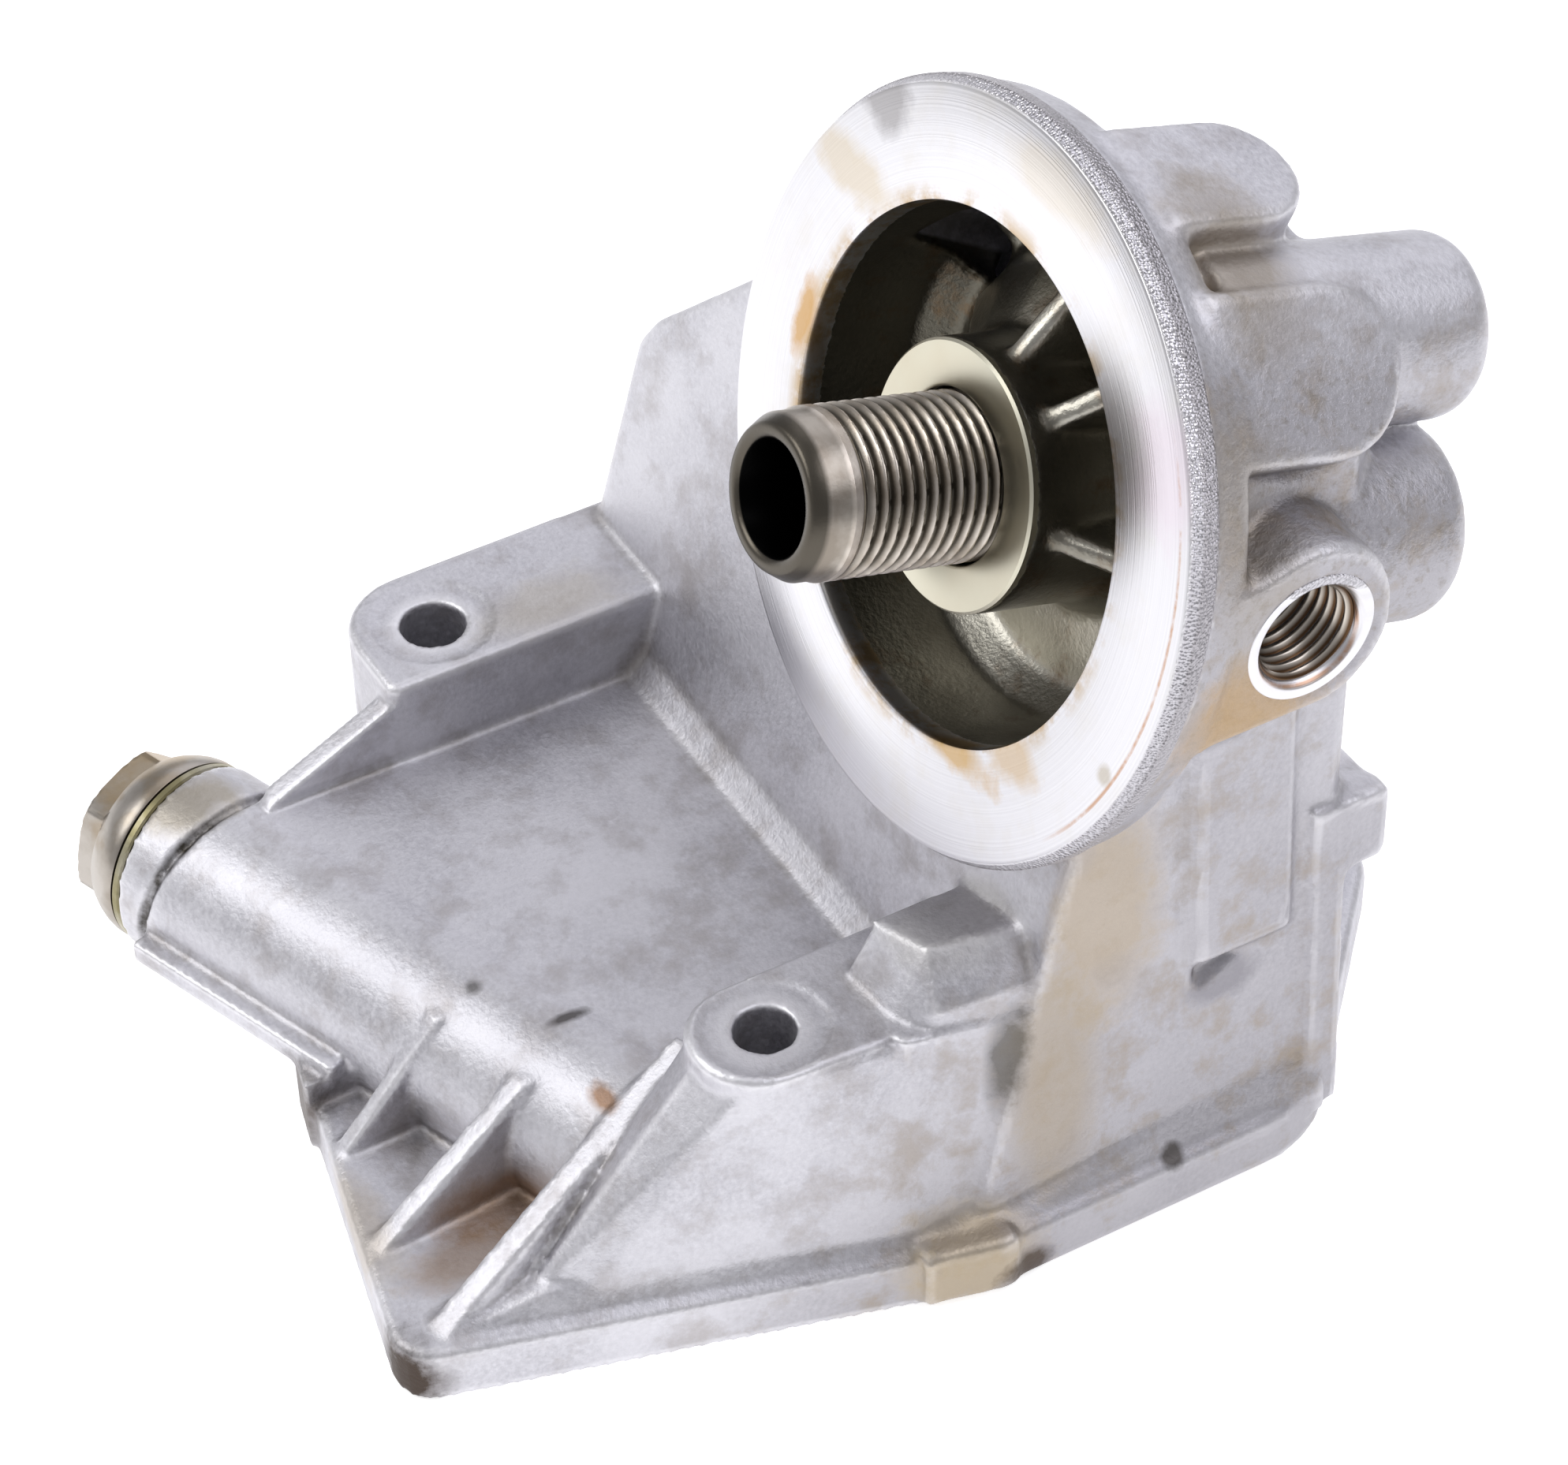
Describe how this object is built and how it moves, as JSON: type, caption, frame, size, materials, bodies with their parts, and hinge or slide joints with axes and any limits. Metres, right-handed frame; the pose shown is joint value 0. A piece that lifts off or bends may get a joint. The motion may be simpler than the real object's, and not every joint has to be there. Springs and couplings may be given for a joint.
{
  "type": "oil filter housing",
  "caption": "Die-cast housing that bolts to an engine, carries a spin-on oil filter on a tilted ring and holds a pressure relief valve and a sender port.",
  "frame": {"origin": "on the gasket face, straight below the centre of the filter's sealing ring", "axes": "+Z away from the gasket face, -Y the side that the filter leaves from, tilted 16 degrees upwards, +X the side with the sender port"},
  "size_m": [0.1225, 0.1395, 0.1302],
  "materials": {
    "cast_aluminium": "as die-cast, satin",
    "nipple_steel": "dark turned steel",
    "plug_steel": "dull plated steel",
    "washer_aluminium": "dull",
    "piston_steel": "ground",
    "spring_steel": "dark oiled wire",
    "socket_plug_steel": "dull plated steel"
  },
  "bodies": {
    "housing": {"housing_casting": "cast_aluminium", "filter_nipple": "nipple_steel", "valve_plug": "plug_steel", "sealing_washer": "washer_aluminium", "relief_spring": "spring_steel", "gallery_plug_upper": "socket_plug_steel", "gallery_plug_lower": "socket_plug_steel"},
    "piston": {"relief_piston": "piston_steel"}
  },
  "joints": [
    {"name": "relief_slide", "type": "slide", "parent": "housing", "child": "piston", "axis": [-0.9397, -0.342, 0], "range_m": [0, 0.006], "deforming": ["relief_spring"]}
  ]
}
